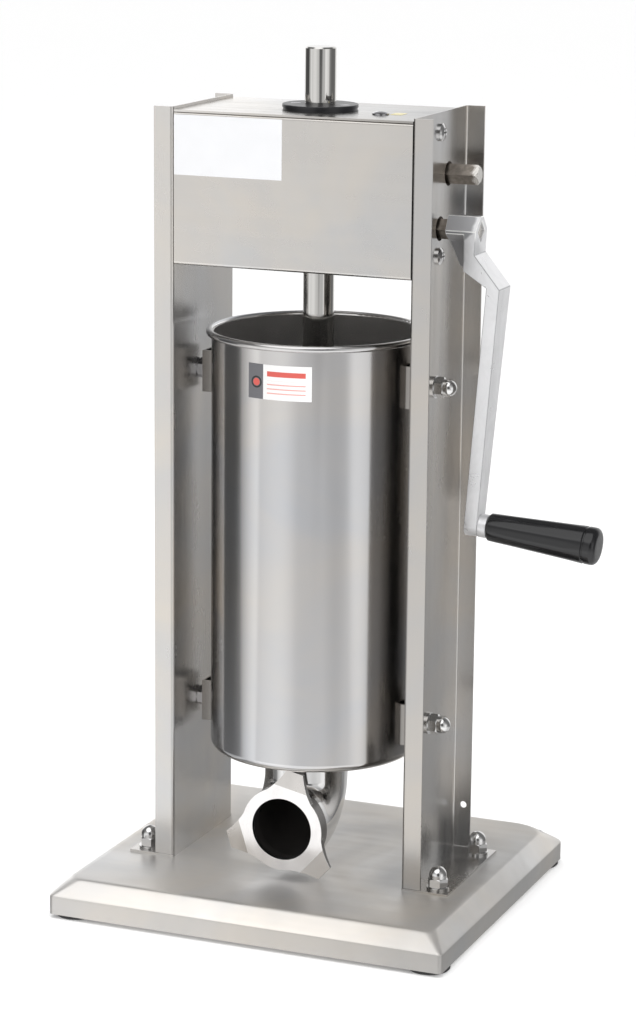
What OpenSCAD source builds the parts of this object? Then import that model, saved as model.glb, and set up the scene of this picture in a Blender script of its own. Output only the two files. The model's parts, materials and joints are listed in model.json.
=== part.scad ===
// Vertical hand-cranked sausage stuffer, 5 litre class.
// Origin: on the floor, under the axis of the piston rod. The spout faces -Y, the crank is on +X.

/* [Base] */
// Width of the base pan, left to right
base_w = 300; // [280:1:320]
// Depth of the base pan, front to back
base_d = 270; // [250:1:290]
// Height of the flat top of the base pan above the floor
base_top = 28.2; // [26:0.1:32]
// Height of the upper edge of the upright skirt
skirt_top = 16.8; // [15:0.1:18]
// Gap between the skirt and the floor
skirt_gap = 3; // [2.5:0.5:5]
// Diameter of a rubber foot where it stands on the floor
foot_dia = 29.8; // [26:0.1:32]

/* [Posts] */
// Clear width between the two posts
post_gap = 178; // [176:1:184]
// Depth of a post, front to back
post_d = 106; // [106:1:112]
// Width of a post's flange, left to right
post_flange = 14.5; // [12:0.5:18]
// Height of the top of the posts above the floor
post_top = 575.8; // [575:0.1:580]
// Distance that a post's foot plate reaches outward from the inner face
foot_plate = 35; // [33:1:40]

/* [Gearbox] */
// Height of the underside of the gearbox above the floor
gearbox_bottom = 465.5; // [464:0.5:466]
// Height of the top face of the gearbox cover above the floor
gearbox_top = 573.8; // [573:0.1:575]
// Gear module
gear_module = 2; // [2:2]
// Teeth of the two pinions
pinion_teeth = 10; // [10:10]
// Teeth of the main gear
gear_teeth = 30; // [30:30]
// Height of the crank shaft above the floor
crank_z = 495; // [494:0.5:496]

/* [Cylinder] */
// Outer diameter of the cylinder
cylinder_dia = 151.6; // [148:0.1:152]
// Height of the cylinder's underside above the floor
cylinder_bottom = 111.4; // [110:0.1:113]
// Height of the cylinder's rim above the floor
cylinder_top = 418.9; // [410:0.1:420]
// Height of the spout's axis above the floor
spout_z = 64; // [64:0.5:65]

/* [Piston] */
// Diameter of the piston rod
rod_dia = 22; // [22:22]
// Height of the rod's upper end above the floor, with the piston down
rod_top = 617; // [612:1:620]
// Stroke of the piston
stroke = 300; // [280:1:300]

/* [Crank] */
// Distance from the crank shaft to the grip, measured straight down
crank_throw = 207.4; // [200:0.1:210]
// Inward lean of the lower half of the crank arm, in degrees
arm_lean = 4.8; // [3:0.1:6]
// Length of the grip
grip_len = 81; // [80:1:88]

/* [Hidden] */
$fn = 64;
sheet = 1.5;
pan_sheet = 2;
slope = 10.6;
pan_corner = 3.5;
half_w = base_w / 2;
half_d = base_d / 2;
pan_under = base_top - pan_sheet;
foot_x = half_w - 14.7;
foot_y = half_d - 16.1;
foot_lip = skirt_gap - 0.3;
foot_neck_r = 7;
foot_neck_top = 21;
stud_r = 1.95;
inner_x = post_gap / 2;
web_x = inner_x + sheet;
post_y = post_d / 2;
plate_top = base_top + sheet;
post_bolt_x = 113;
post_bolt_y = 42;

// Bolts through the webs that carry the cylinder, and screws that hold the gearbox
pin_y = -6;
pin_z_low = 139.5;
pin_z_high = 384.5;
screw_y = -2;
screw_z_low = 476;
screw_z_high = 562;
gasket_h = 1.4;
m8_r = 4;
m8_hex = 13;
m8_washer_r = 8;

// Shafts and gears
pressure = 20;
pinion_shift = 0.4;
tooth_play = 0.16;
pinion_r = gear_module * pinion_teeth / 2;
gear_r = gear_module * gear_teeth / 2;
centre_distance = pinion_r + gear_r;
crank_y = 0;
upper_y = 16;
upper_z = crank_z + sqrt(pow(centre_distance, 2) - pow(upper_y - crank_y, 2));
mesh_angle = atan2(upper_z - crank_z, upper_y - crank_y);
journal_r = 7;
square_side = 10;
running_gap = 0.05;
pinion_tip_r = pinion_r + gear_module * (0.8 + pinion_shift);
pinion_root_r = pinion_r - gear_module * (1.25 - pinion_shift);
gear_tip_r = gear_r + gear_module * (1 - pinion_shift);
gear_root_r = gear_r - gear_module * (1.25 + pinion_shift);
cheek_in = 22;
cheek_out = 28;
block_in = inner_x - 6;
gear_from = 38;
gear_to = 52;
stub_pinion_from = 36;
stub_pinion_to = 54;
rack_pinion_half = 9;
shaft_left = -33;
shaft_right = 113.5;
stub_left = 18.5;
stub_clip_left = cheek_in - 1.5;
stub_clip_right = block_in - 3;
gear_clip = gear_to + 0.05;
left_clip = -cheek_out - 3;
hub_from = cheek_out + 1.8;
stub_right = 119.5;
square_from = inner_x - 1;

// Rack cut in the rear of the rod
rod_r = rod_dia / 2;
tooth_pitch = PI * gear_module;
rack_line = upper_y - pinion_r - gear_module * pinion_shift;
rack_tip = rack_line + 0.95 * gear_module;
rack_root = upper_y - pinion_tip_r - 0.4;
rack_gap_half = (tooth_pitch / 2 + tooth_play / 2) / 2;
teeth_below = ceil(stroke / tooth_pitch) + 2;
teeth_above = 2;

// Piston and cylinder
cyl_r = cylinder_dia / 2;
bore_r = cyl_r - sheet;
floor_top = cylinder_bottom + 2;
piston_bottom = floor_top + 2.6;
piston_thick = 15;
piston_top = piston_bottom + piston_thick;
valve_x = 42;

// Outlet
pipe_r = 30;
pipe_bore_r = 28;
outlet_y = -15;
bend_r = 30.6;
bend_y = outlet_y - bend_r;
bend_z = spout_z + bend_r;
pipe_end_y = -49.5;
sleeve_from = -45;
sleeve_to = -56;
sleeve_bore_r = 24.5;
nut_front = -61;
nut_lip = -57.2;
nut_back = -50;
nut_body_r = 30.8;
nut_opening_r = 22.8;
wing_tip_r = 44;
wing_half = 6.5;
wing_first = 77.9;

// Crank and grip, in the arm's leaning frame
hub_in = 97.3;
hub_out = 121.5;
hub_half = 12;
arm_end_r = 8.4;
grip_x = 119.6;
grip_z = crank_z - crank_throw;
collar_from = 5.2;
collar_to = 11.4;
grip_from = collar_to + 0.4;
grip_to = grip_from + grip_len;
grip_end_r = 13.3;
grip_round = 4;
grip_bore_r = 7.8;
spindle_head = grip_to - 9;

// ---------- helpers ----------

// Turns a shape drawn in XY and raised along Z so that it lies in YZ and runs along X
module along_x() {
    rotate([90, 0, 90]) children();
}

// Turns a shape raised along Z so that it runs along -Y, with its X kept and its Y upright
module along_front() {
    rotate([90, 0, 0]) children();
}

module rod_x(r, from, to, y, z) {
    translate([from, y, z]) rotate([0, 90, 0]) cylinder(r = r, h = to - from);
}

module ring_x(r_out, r_in, from, to, y, z) {
    difference() {
        rod_x(r_out, from, to, y, z);
        rod_x(r_in, from - 1, to + 1, y, z);
    }
}

module rounded_rect(w, d, r) {
    square([w, d - 2 * r], center = true);
    square([w - 2 * r, d], center = true);
    for (x = [-1, 1], y = [-1, 1])
        translate([x * (w / 2 - r), y * (d / 2 - r)]) circle(r);
}

// Block on a rounded rectangle whose four sides slope inward by "inset"
module sloped_block(w, d, h, r, inset) {
    intersection() {
        linear_extrude(h) rounded_rect(w, d, r);
        along_x() translate([0, 0, -w / 2]) linear_extrude(w)
            polygon([[-d / 2, 0], [d / 2, 0], [d / 2 - inset, h], [-d / 2 + inset, h]]);
        translate([0, d / 2, 0]) along_front() linear_extrude(d)
            polygon([[-w / 2, 0], [w / 2, 0], [w / 2 - inset, h], [-w / 2 + inset, h]]);
    }
}

// Hexagon nut or head with its two flats upright, bored by the radius "hole"
module hex_nut(across_flats, h, hole) {
    difference() {
        intersection() {
            cylinder(r = across_flats / sqrt(3), h = h, $fn = 6);
            union() {
                cylinder(r1 = across_flats / 2, r2 = across_flats / sqrt(3) + 0.2, h = 1);
                translate([0, 0, 1]) cylinder(r = across_flats / sqrt(3) + 0.2, h = h - 2);
                translate([0, 0, h - 1])
                    cylinder(r1 = across_flats / sqrt(3) + 0.2, r2 = across_flats / 2, h = 1);
            }
        }
        if (hole > 0) translate([0, 0, -1]) cylinder(r = hole, h = h + 2);
    }
}

// M8 cap nut standing on z = 0, 15 mm tall, with a blind hole
module cap_nut() {
    dome_r = 6.25;
    difference() {
        union() {
            hex_nut(m8_hex, 6.5, 0);
            cylinder(r = dome_r, h = 15 - dome_r);
            translate([0, 0, 15 - dome_r]) sphere(r = dome_r);
        }
        translate([0, 0, -1]) cylinder(r = m8_r, h = 12);
    }
}

module washer(r_out, r_in, h) {
    difference() {
        cylinder(r = r_out, h = h);
        translate([0, 0, -1]) cylinder(r = r_in, h = h + 2);
    }
}

module each_foot() {
    for (x = [-1, 1], y = [-1, 1]) translate([x * foot_x, y * foot_y, 0]) children();
}

module each_post_bolt() {
    for (x = [-1, 1], y = [-1, 1])
        translate([x * post_bolt_x, y * post_bolt_y, 0]) children();
}

// Puts a shape that is raised along Z on each of the four pins, pointing away from the cylinder
module each_pin() {
    for (side = [-1, 1], z = [pin_z_low, pin_z_high])
        translate([0, pin_y, z]) rotate([0, side * 90, 0]) children();
}

module each_cover_screw() {
    for (side = [-1, 1], z = [screw_z_low, screw_z_high])
        translate([0, screw_y, z]) rotate([0, side * 90, 0]) children();
}

// ---------- gear outlines ----------

function involute(a) = tan(a) * 180 / PI - a;

function half_tooth(r, teeth, shift) =
    let (
        pitch_r = gear_module * teeth / 2,
        base_r = pitch_r * cos(pressure),
        width = gear_module * (PI / 2 + 2 * shift * tan(pressure)) - tooth_play / 2,
        roll = r > base_r ? acos(base_r / r) : 0
    )
    width / (2 * pitch_r) * 180 / PI + involute(pressure) - involute(roll);

function polar(r, a) = [r * cos(a), r * sin(a)];

function tooth_points(teeth, shift, root_r, tip_r, at) =
    let (
        base_r = gear_module * teeth / 2 * cos(pressure),
        start_r = max(base_r, root_r),
        steps = 5,
        radii = [for (i = [0:steps]) start_r + (tip_r - start_r) * i / steps],
        foot = half_tooth(start_r, teeth, shift),
        low = root_r < base_r ? [polar(root_r, at - foot)] : [],
        high = root_r < base_r ? [polar(root_r, at + foot)] : []
    )
    concat(
        low,
        [for (r = radii) polar(r, at - half_tooth(r, teeth, shift))],
        [for (i = [steps:-1:0]) polar(radii[i], at + half_tooth(radii[i], teeth, shift))],
        high
    );

module gear_outline(teeth, shift, root_r, tip_r, first) {
    polygon([
        for (k = [0:teeth - 1])
            each tooth_points(teeth, shift, root_r, tip_r, first + k * 360 / teeth)
    ]);
}

// ---------- base ----------

module base_pan() {
    slope_h = base_top - skirt_top;
    color("lightgray") difference() {
        union() {
            translate([0, 0, skirt_gap]) linear_extrude(skirt_top - skirt_gap)
                rounded_rect(base_w, base_d, pan_corner);
            translate([0, 0, skirt_top])
                sloped_block(base_w, base_d, slope_h, pan_corner, slope);
        }
        translate([0, 0, skirt_gap - 1]) linear_extrude(skirt_top - skirt_gap)
            rounded_rect(base_w - 2 * pan_sheet, base_d - 2 * pan_sheet, pan_corner - pan_sheet);
        translate([0, 0, skirt_top - 1])
            sloped_block(base_w - 2 * pan_sheet, base_d - 2 * pan_sheet,
                slope_h + 1 - pan_sheet, pan_corner - pan_sheet, slope);
        each_post_bolt() translate([0, 0, pan_under - 1]) cylinder(r = 4.2, h = 5);
    }
}

module rubber_feet() {
    color("black") each_foot() difference() {
        union() {
            cylinder(r1 = foot_dia / 2 - 1, r2 = foot_dia / 2, h = 1);
            translate([0, 0, 1]) cylinder(r = foot_dia / 2, h = foot_lip - 1);
            cylinder(r = foot_dia / 2 - 2.5, h = 12);
            translate([0, 0, 11]) cylinder(r = foot_neck_r, h = foot_neck_top - 11);
            translate([0, 0, foot_neck_top]) cylinder(r1 = foot_neck_r, r2 = 3.2, h = 3.8);
        }
        translate([0, 0, -1]) cylinder(r = 8, h = 8);
        cylinder(r = stud_r + 0.1, h = base_top);
    }
}

module foot_studs() {
    color("silver") each_foot() translate([0, 0, 2]) cylinder(r = stud_r, h = pan_under - 2);
}

module foot_nuts() {
    color("silver") each_foot() translate([0, 0, 2.4]) {
        hex_nut(7, 3.4, stud_r + 0.05);
        translate([0, 0, 3.4]) washer(7, stud_r + 0.1, 1.2);
    }
}

module post_bolts() {
    color("silver") each_post_bolt() translate([0, 0, pan_under - 5.3]) {
        hex_nut(m8_hex, 5.3, 0);
        translate([0, 0, 5.3]) cylinder(r = m8_r - 0.05, h = 15);
    }
}

module post_washers() {
    color("silver") each_post_bolt() translate([0, 0, plate_top]) washer(m8_washer_r, 4.2, 1.6);
}

module post_cap_nuts() {
    color("silver") each_post_bolt() translate([0, 0, plate_top + 1.6]) cap_nut();
}

// ---------- posts ----------

// Plan of the right post: web at the left, two flanges to the right, rounded bends
module post_plan() {
    bend_out = 2.5;
    bend_in = bend_out - sheet;
    difference() {
        union() {
            translate([inner_x + bend_out, -post_y]) square([post_flange - bend_out, post_d]);
            translate([inner_x, -post_y + bend_out]) square([post_flange, post_d - 2 * bend_out]);
            for (y = [-1, 1])
                translate([inner_x + bend_out, y * (post_y - bend_out)]) circle(bend_out);
        }
        translate([web_x + bend_in, -post_y + sheet]) square([post_flange, post_d - 2 * sheet]);
        translate([web_x, -post_y + bend_out]) square([post_flange, post_d - 2 * bend_out]);
        for (y = [-1, 1])
            translate([web_x + bend_in, y * (post_y - bend_out)]) circle(bend_in);
    }
}

module post(shaft_holes) {
    difference() {
        union() {
            translate([0, 0, base_top]) linear_extrude(post_top - base_top) post_plan();
            translate([inner_x + 0.5, -post_y, base_top])
                cube([foot_plate - 0.5, post_d, sheet]);
        }
        // the flanges stand just clear of the foot plate
        translate([web_x, -post_y - 1, plate_top]) cube([post_flange, post_d + 2, 0.3]);
        for (z = [pin_z_low, pin_z_high]) rod_x(4.2, inner_x - 1, web_x + 1, pin_y, z);
        for (z = [screw_z_low, screw_z_high]) rod_x(3.2, inner_x - 1, web_x + 1, screw_y, z);
        if (shaft_holes) {
            rod_x(8.6, inner_x - 1, web_x + 1, upper_y, upper_z);
            rod_x(8.6, inner_x - 1, web_x + 1, crank_y, crank_z);
        }
        translate([inner_x + 9, post_y + 1, 62]) along_front() cylinder(r = 2.5, h = sheet + 2);
        for (y = [-1, 1]) translate([post_bolt_x, y * post_bolt_y, base_top - 1])
            cylinder(r = 4.2, h = 4);
    }
}

module right_post() {
    color("silver") post(true);
}

module left_post() {
    color("silver") mirror([1, 0, 0]) post(false);
}

// ---------- gearbox shell ----------

module gearbox_trough() {
    side_gap = 0.3;
    half_len = inner_x - side_gap;
    front = post_y - 1;
    wall_top = gearbox_top - sheet;
    bend_out = 2.2;
    lip = 9;
    color("gainsboro") {
        difference() {
            along_x() translate([0, 0, -half_len]) linear_extrude(2 * half_len) difference() {
                translate([0, (gearbox_bottom + wall_top) / 2])
                    rounded_rect(2 * front, wall_top - gearbox_bottom, bend_out);
                translate([0, (gearbox_bottom + wall_top) / 2])
                    rounded_rect(2 * (front - sheet), wall_top - gearbox_bottom - 2 * sheet,
                        bend_out - sheet);
                translate([-front + lip, wall_top - 5]) square([2 * (front - lip), 10]);
            }
            translate([0, 0, gearbox_bottom - 1]) cylinder(r = 14.2, h = 4);
            for (x = [-1, 1], y = [-1, 1])
                translate([x * 37, 12 + y * 17, gearbox_bottom - 1]) cylinder(r = 3.1, h = 4);
        }
        for (side = [-1, 1]) difference() {
            translate([side * (half_len - sheet / 2), screw_y, gearbox_bottom + 10.5])
                cube([sheet, 28, 18], center = true);
            rod_x(3.1, -inner_x, inner_x, screw_y, screw_z_low);
        }
    }
}

module top_cover() {
    half_len = inner_x - 0.3;
    half_deep = post_y - 1.3;
    color("whitesmoke") difference() {
        union() {
            translate([-half_len, -half_deep, gearbox_top - sheet])
                cube([2 * half_len, 2 * half_deep, sheet]);
            for (side = [-1, 1])
                translate([side * (half_len - sheet / 2), screw_y, gearbox_top - 12])
                    cube([sheet, 28, 22], center = true);
        }
        translate([0, 0, gearbox_top - 5]) cylinder(r = 15.2, h = 10);
        translate([51.5, -16, gearbox_top - 5]) cylinder(r = 3.6, h = 10);
        for (side = [-1, 1])
            translate([side * 18.6, 0, gearbox_top - 5]) cylinder(r = 2.1, h = 10);
        rod_x(3.1, -inner_x, inner_x, screw_y, screw_z_high);
    }
}

module cover_screws() {
    head_r = 6.15;
    color("silver") each_cover_screw() translate([0, 0, web_x]) {
        translate([0, 0, -12]) cylinder(r = 2.95, h = 12);
        difference() {
            union() {
                cylinder(r = head_r, h = 1.6);
                translate([0, 0, 1.6]) cylinder(r1 = head_r, r2 = head_r - 1.4, h = 1);
                translate([0, 0, 2.6]) cylinder(r1 = head_r - 1.4, r2 = 2.6, h = 0.9);
            }
            for (turn = [0, 90]) rotate(turn) translate([0, 0, 3.2]) cube([6, 1.1, 2], center = true);
        }
    }
}

module tab_nuts() {
    inner_face = inner_x - 0.3 - sheet;
    color("silver") each_cover_screw() translate([0, 0, inner_face - 5]) hex_nut(10, 5, 3);
}

module bearing_block() {
    color("dimgray") difference() {
        translate([block_in, -14, crank_z - 9]) cube([6, 44, upper_z - crank_z + 26]);
        rod_x(9.2, block_in - 1, inner_x + 1, upper_y, upper_z);
        rod_x(9.2, block_in - 1, inner_x + 1, crank_y, crank_z);
    }
}

// Two cheeks beside the rod, each on a foot that is screwed to the gearbox floor
module bearing_bracket() {
    floor_z = gearbox_bottom + sheet;
    color("dimgray") for (side = [-1, 1]) difference() {
        union() {
            translate([side * (cheek_in + cheek_out) / 2, 12, (floor_z + upper_z + 16) / 2])
                cube([cheek_out - cheek_in, 48, upper_z + 16 - floor_z], center = true);
            translate([side * (cheek_out + 9), 12, floor_z + 1.5])
                cube([18.02, 48, 3], center = true);
        }
        rod_x(9.2, -cheek_out - 1, cheek_out + 1, upper_y, upper_z);
        if (side > 0) rod_x(9.2, 0, cheek_out + 1, crank_y, crank_z);
        for (y = [-1, 1]) translate([side * 37, 12 + y * 17, floor_z - 1]) cylinder(r = 3.1, h = 6);
    }
}

module bracket_screws() {
    floor_z = gearbox_bottom + sheet;
    color("silver") for (x = [-1, 1], y = [-1, 1])
        translate([x * 37, 12 + y * 17, gearbox_bottom - 4]) {
            hex_nut(10, 4, 0);
            translate([0, 0, 4]) cylinder(r = 2.95, h = 10.5);
            translate([0, 0, 4 + sheet + 3]) hex_nut(10, 5, 3);
        }
}

// Flanged bronze bush for a shaft, its flange at the low end
module shaft_bush(from, to, y, z, flange_at_low) {
    flange_from = flange_at_low ? from - 1.5 : to;
    difference() {
        union() {
            rod_x(9.2, from, to, y, z);
            rod_x(11, flange_from, flange_from + 1.5, y, z);
        }
        rod_x(journal_r + running_gap, from - 3, to + 3, y, z);
    }
}

module shaft_bushes() {
    color("darkgoldenrod") {
        shaft_bush(block_in, inner_x, upper_y, upper_z, true);
        shaft_bush(block_in, inner_x, crank_y, crank_z, true);
        shaft_bush(cheek_in, cheek_out, upper_y, upper_z, false);
        shaft_bush(cheek_in, cheek_out, crank_y, crank_z, false);
        shaft_bush(-cheek_out, -cheek_in, upper_y, upper_z, true);
    }
}

module lower_guide_bush() {
    color("ivory") translate([0, 0, gearbox_bottom]) difference() {
        union() {
            cylinder(r = 14, h = 14);
            translate([0, 0, sheet]) cylinder(r = 18, h = 3);
        }
        translate([0, 0, -1]) cylinder(r = rod_r + running_gap, h = 20);
    }
}

module bushing_gasket() {
    color("dimgray") translate([0, 0, gearbox_top]) difference() {
        cylinder(r = 26.1, h = gasket_h);
        translate([0, 0, -1]) cylinder(r = 15.2, h = 4);
        for (side = [-1, 1]) translate([side * 18.6, 0, -1]) cylinder(r = 2.1, h = 4);
    }
}

module top_guide_bushing() {
    color("#202020") translate([0, 0, gearbox_top + gasket_h]) difference() {
        union() {
            cylinder(r = 26.7, h = 1.8);
            translate([0, 0, 1.8]) cylinder(r1 = 26.7, r2 = 26.3, h = 0.4);
            translate([0, 0, -20]) cylinder(r = 15, h = 21);
        }
        translate([0, 0, -21]) cylinder(r = rod_r + running_gap, h = 26);
        for (side = [-1, 1]) translate([side * 18.6, 0, 0]) {
            translate([0, 0, -1]) cylinder(r = 2.1, h = 5);
            translate([0, 0, 0.4]) cylinder(r1 = 2.1, r2 = 3.9, h = 1.8);
        }
    }
}

module bushing_screws() {
    color("gray") for (side = [-1, 1])
        translate([side * 18.6, 0, gearbox_top + gasket_h]) difference() {
            union() {
                translate([0, 0, -7]) cylinder(r = 2, h = 7.5);
                translate([0, 0, 0.4]) cylinder(r1 = 2, r2 = 3.7, h = 1.7);
            }
            translate([0, 0, 1.8]) cube([5, 0.9, 1.4], center = true);
        }
}

module oil_plug() {
    color("slategray") translate([51.5, -16, gearbox_top]) {
        translate([0, 0, -4]) cylinder(r = 3.5, h = 4);
        cylinder(r = 6, h = 0.8);
        translate([0, 0, 0.8]) cylinder(r1 = 6, r2 = 4.4, h = 0.8);
        translate([0, 0, 1.6]) cylinder(r1 = 4.4, r2 = 2, h = 0.5);
    }
}

// ---------- piston ----------

// Outline of the material that is removed behind the rod: a flat with tooth spaces in it
function rack_points() =
    let (
        slant = tan(pressure),
        top_half = rack_gap_half + (rack_tip - rack_line) * slant,
        root_half = rack_gap_half - (rack_line - rack_root) * slant,
        low = upper_z - (teeth_below + 0.5) * tooth_pitch,
        high = upper_z + (teeth_above + 0.5) * tooth_pitch
    )
    concat(
        [[rod_r + 2, low], [rack_tip, low]],
        [
            for (k = [-teeth_below:teeth_above])
                let (z = upper_z + k * tooth_pitch)
                each [
                    [rack_tip, z - top_half], [rack_root, z - root_half],
                    [rack_root, z + root_half], [rack_tip, z + top_half]
                ]
        ],
        [[rack_tip, high], [rod_r + 2, high]]
    );

module rack_rod() {
    stud_r = 6;
    shoulder = piston_bottom + 8;
    color("silver") difference() {
        union() {
            translate([0, 0, shoulder]) cylinder(r = rod_r, h = rod_top - 1 - shoulder);
            translate([0, 0, rod_top - 1]) cylinder(r1 = rod_r, r2 = rod_r - 1, h = 1);
            translate([0, 0, piston_bottom + 0.5]) cylinder(r = stud_r, h = 8);
        }
        along_x() translate([0, 0, -rod_r - 1]) linear_extrude(rod_dia + 2)
            polygon(rack_points());
    }
}

module piston_plate() {
    color("whitesmoke") translate([0, 0, piston_bottom]) difference() {
        union() {
            cylinder(r1 = bore_r - 2.5, r2 = bore_r - 0.8, h = 1.7);
            translate([0, 0, 1.7]) cylinder(r = bore_r - 0.8, h = 2.3);
            cylinder(r = 69, h = 12);
            translate([0, 0, 9]) cylinder(r = bore_r - 0.8, h = 3);
            cylinder(r = 20, h = piston_thick);
        }
        translate([0, 0, 8]) cylinder(r = rod_r, h = 20);
        translate([0, 0, -1]) cylinder(r = 6.1, h = 20);
        translate([0, 0, -1]) cylinder(r = 11.5, h = 7.5);
        translate([valve_x, 0, -1]) cylinder(r = 4.2, h = 20);
        translate([valve_x, 0, 6]) cylinder(r = 8, h = 20);
    }
}

module piston_seal() {
    color("gainsboro") translate([0, 0, piston_bottom + 4]) difference() {
        union() {
            cylinder(r = bore_r - 0.4, h = 5);
            translate([0, 0, 1]) cylinder(r = bore_r - 0.05, h = 3);
        }
        translate([0, 0, -1]) cylinder(r = 69, h = 7);
    }
}

module piston_nut() {
    color("silver") translate([0, 0, piston_bottom + 0.6]) hex_nut(19, 5.9, 6.05);
}

module valve_body() {
    color("khaki") translate([valve_x, 0, piston_bottom + 6]) difference() {
        union() {
            cylinder(r = 7.95, h = 6);
            translate([0, 0, 6]) cylinder(r = 10, h = 2);
            translate([0, 0, 8]) cylinder(r = 7.95, h = 8);
        }
        translate([0, 0, -1]) cylinder(r = 4.2, h = 3);
        translate([0, 0, 1.5]) cylinder(r = 6, h = 12.5);
        translate([0, 0, 10]) cylinder(r = 2.1, h = 10);
    }
}

module valve_poppet() {
    color("khaki") translate([valve_x, 0, piston_bottom + 6]) {
        translate([0, 0, 1.8]) cylinder(r = 5.6, h = 2.2);
        translate([0, 0, 4]) cylinder(r = 2.05, h = 15);
        translate([0, 0, 19]) cylinder(r1 = 2.05, r2 = 4, h = 1);
        translate([0, 0, 20]) cylinder(r = 4, h = 2.5);
    }
}

// Points of one ring of the spring wire, at "turn" of the way up the coil
function wire_ring(turn, turns, coil_r, wire_r, h, sides) = [
    for (s = [0:sides - 1])
        let (a = turn * turns * 360, b = s * 360 / sides, r = coil_r + wire_r * cos(b))
        [r * cos(a), r * sin(a), wire_r + (h - 2 * wire_r) * turn + wire_r * sin(b)]
];

module valve_spring() {
    turns = 4;
    sides = 6;
    rings = 48;
    h = 9.4;
    points = [
        for (i = [0:rings])
            each wire_ring(i / rings, turns, 4.2, 0.45, h, sides)
    ];
    walls = [
        for (i = [0:rings - 1], s = [0:sides - 1])
            let (a = i * sides + s, b = i * sides + (s + 1) % sides)
            [a, a + sides, b + sides, b]
    ];
    start = [[for (s = [0:sides - 1]) s]];
    finish = [[for (s = [sides - 1:-1:0]) rings * sides + s]];
    color("gray") translate([valve_x, 0, piston_bottom + 6 + 4.1])
        polyhedron(points, concat(walls, start, finish));
}

// ---------- shafts and gears ----------

// Square end turned corner up, its corners trimmed to the journal's diameter
module square_end(from, to, y, z) {
    translate([from, y, z]) along_x() intersection() {
        rotate(45) translate([-square_side / 2, -square_side / 2, 0])
            cube([square_side, square_side, to - from]);
        union() {
            cylinder(r = journal_r, h = to - from - 1.5);
            translate([0, 0, to - from - 1.5]) cylinder(r1 = journal_r, r2 = journal_r - 1.8, h = 1.5);
        }
    }
}

module circlip(at, y, z) {
    difference() {
        ring_x(9, journal_r - 0.6, at, at + 1.2, y, z);
        translate([at - 1, y - 1.5, z]) cube([4, 3, 12]);
    }
}

module groove(at, y, z) {
    ring_x(journal_r + 1, journal_r - 0.6, at - 0.05, at + 1.25, y, z);
}

module rack_pinion_shaft() {
    color("dimgray") difference() {
        union() {
            rod_x(journal_r, shaft_left, square_from, upper_y, upper_z);
            square_end(square_from, shaft_right, upper_y, upper_z);
            translate([-rack_pinion_half, upper_y, upper_z]) along_x()
                linear_extrude(2 * rack_pinion_half)
                gear_outline(pinion_teeth, pinion_shift, pinion_root_r, pinion_tip_r, 180);
        }
        translate([gear_from, upper_y - 2.5, upper_z + 4]) cube([gear_to - gear_from, 5, 5]);
        groove(gear_clip, upper_y, upper_z);
        groove(left_clip, upper_y, upper_z);
    }
}

module main_gear() {
    hub_r = 13;
    holes = 5;
    color("gray") difference() {
        union() {
            translate([gear_from, upper_y, upper_z]) along_x() linear_extrude(gear_to - gear_from)
                gear_outline(gear_teeth, -pinion_shift, gear_root_r, gear_tip_r,
                    mesh_angle + 180 + 180 / gear_teeth);
            rod_x(hub_r - 1, hub_from, gear_from + 0.5, upper_y, upper_z);
        }
        rod_x(journal_r, hub_from - 1, gear_to + 1, upper_y, upper_z);
        ring_x(gear_root_r - 3.5, hub_r, gear_from - 1, gear_from + 3, upper_y, upper_z);
        ring_x(gear_root_r - 3.5, hub_r, gear_to - 3, gear_to + 1, upper_y, upper_z);
        for (k = [0:holes - 1]) let (a = 18 + k * 360 / holes)
            rod_x(2.8, gear_from - 1, gear_to + 1,
                upper_y + 18.2 * cos(a), upper_z + 18.2 * sin(a));
        translate([hub_from - 1, upper_y - 2.5, upper_z]) cube([gear_to - hub_from + 2, 5, 9.2]);
    }
}

module gear_key() {
    color("silver") translate([gear_from + 0.2, upper_y - 2.45, upper_z + 4.05])
        cube([gear_to - gear_from - 0.4, 4.9, 4.95]);
}

module gear_circlips() {
    color("gray") {
        circlip(gear_clip, upper_y, upper_z);
        circlip(left_clip, upper_y, upper_z);
    }
}

module crank_pinion_shaft() {
    color("dimgray") difference() {
        union() {
            rod_x(journal_r, stub_left, square_from, crank_y, crank_z);
            square_end(square_from, stub_right, crank_y, crank_z);
            translate([stub_pinion_from, crank_y, crank_z]) along_x()
                linear_extrude(stub_pinion_to - stub_pinion_from)
                gear_outline(pinion_teeth, pinion_shift, pinion_root_r, pinion_tip_r, mesh_angle);
        }
        groove(stub_clip_left, crank_y, crank_z);
        groove(stub_clip_right, crank_y, crank_z);
    }
}

module stub_circlip() {
    color("gray") {
        circlip(stub_clip_left, crank_y, crank_z);
        circlip(stub_clip_right, crank_y, crank_z);
    }
}

// ---------- cylinder and outlet ----------

module cylinder_shell() {
    corner = 6;
    bead_r = 2.5;
    rotate_extrude() {
        difference() {
            union() {
                translate([0, cylinder_bottom]) square([cyl_r - corner, corner]);
                translate([0, cylinder_bottom + corner])
                    square([cyl_r, cylinder_top - bead_r - cylinder_bottom - corner]);
                translate([cyl_r - corner, cylinder_bottom + corner]) circle(corner);
            }
            translate([0, floor_top]) square([bore_r - corner + sheet, corner]);
            translate([0, floor_top + corner - sheet])
                square([bore_r, cylinder_top - cylinder_bottom]);
            translate([bore_r - corner + sheet, floor_top + corner - sheet]) circle(corner - sheet);
        }
        translate([bore_r + bead_r + 0.3, cylinder_top - bead_r]) circle(bead_r);
    }
}

module meat_cylinder() {
    color("lightgray") difference() {
        cylinder_shell();
        translate([0, outlet_y, cylinder_bottom - 1]) cylinder(r = pipe_bore_r, h = 4);
    }
}

module pipe_section() {
    difference() {
        circle(pipe_r);
        circle(pipe_bore_r);
    }
}

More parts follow.
